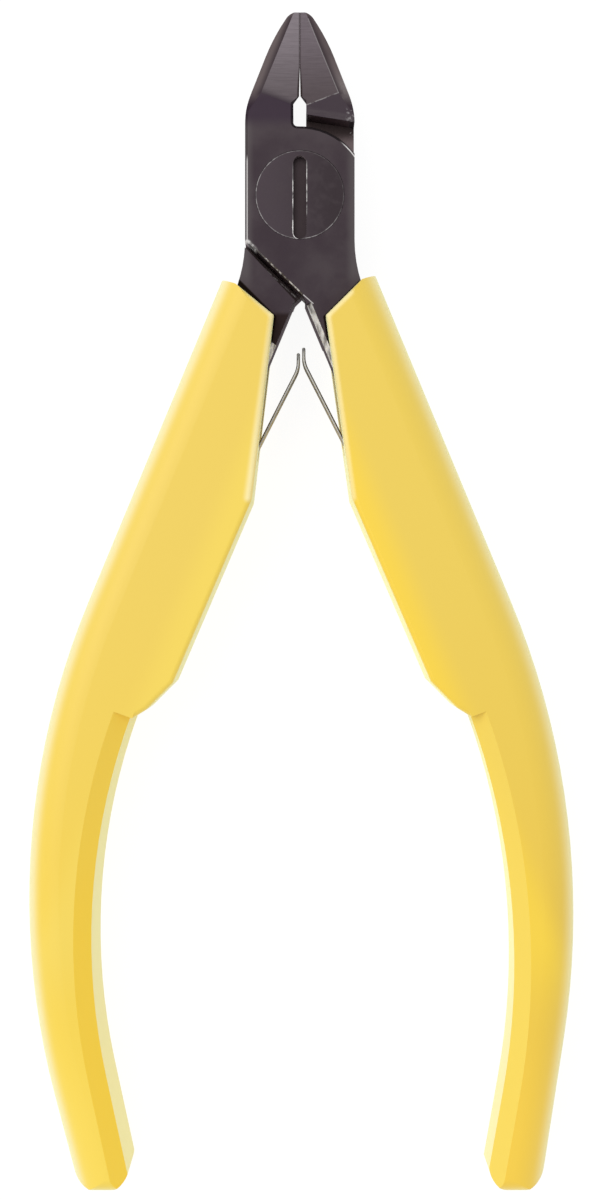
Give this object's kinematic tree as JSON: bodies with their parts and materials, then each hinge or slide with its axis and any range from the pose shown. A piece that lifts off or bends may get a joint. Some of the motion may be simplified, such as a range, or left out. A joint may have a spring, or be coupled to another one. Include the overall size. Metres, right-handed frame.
{
  "type": "precision wire cutter",
  "caption": "Small oval-head side cutter: half-lapped steel jaws on a slotted pivot screw, wire return springs and moulded sleeves, cutting fine wire held crosswise between the edges.",
  "frame": {"origin": "on the pivot axis, in the flat back face of the lap joint", "axes": "+Y points to the jaw tips, +X to the right handle as seen from the front, +Z out of the front face with the screw slot"},
  "size_m": [0.0503, 0.1089, 0.01],
  "materials": {
    "black_steel": "blackened satin",
    "screw_steel": "blackened satin",
    "spring_wire": "drawn",
    "yellow_plastic": "satin"
  },
  "bodies": {
    "front_body": {"front_half": "black_steel", "right_sleeve": "yellow_plastic"},
    "rear_body": {"rear_half": "black_steel", "joint_screw": "screw_steel", "left_sleeve": "yellow_plastic"},
    "left_spring_body": {"left_spring": "spring_wire"},
    "right_spring_body": {"right_spring": "spring_wire"}
  },
  "joints": [
    {"name": "jaw_pivot", "type": "hinge", "parent": "front_body", "child": "rear_body", "pos_m": [0, 0, 0], "axis": [0, 0, -1], "range_deg": [0, 14], "stiffness_Nm_per_rad": 1, "springref_deg": 13.98},
    {"name": "right_spring_flex", "type": "hinge", "parent": "front_body", "child": "right_spring_body", "pos_m": [0.00535, -0.0251, 0], "axis": [0, 0, 1], "range_deg": [0, 9.8]},
    {"name": "left_spring_flex", "type": "hinge", "parent": "rear_body", "child": "left_spring_body", "pos_m": [-0.0051, -0.0256, 0], "axis": [0, 0, -1], "range_deg": [0, 9.8]}
  ],
  "couplings": [
    {"joint": "right_spring_flex", "follows": "jaw_pivot", "ratio": 0.68},
    {"joint": "left_spring_flex", "follows": "jaw_pivot", "ratio": 0.68}
  ]
}
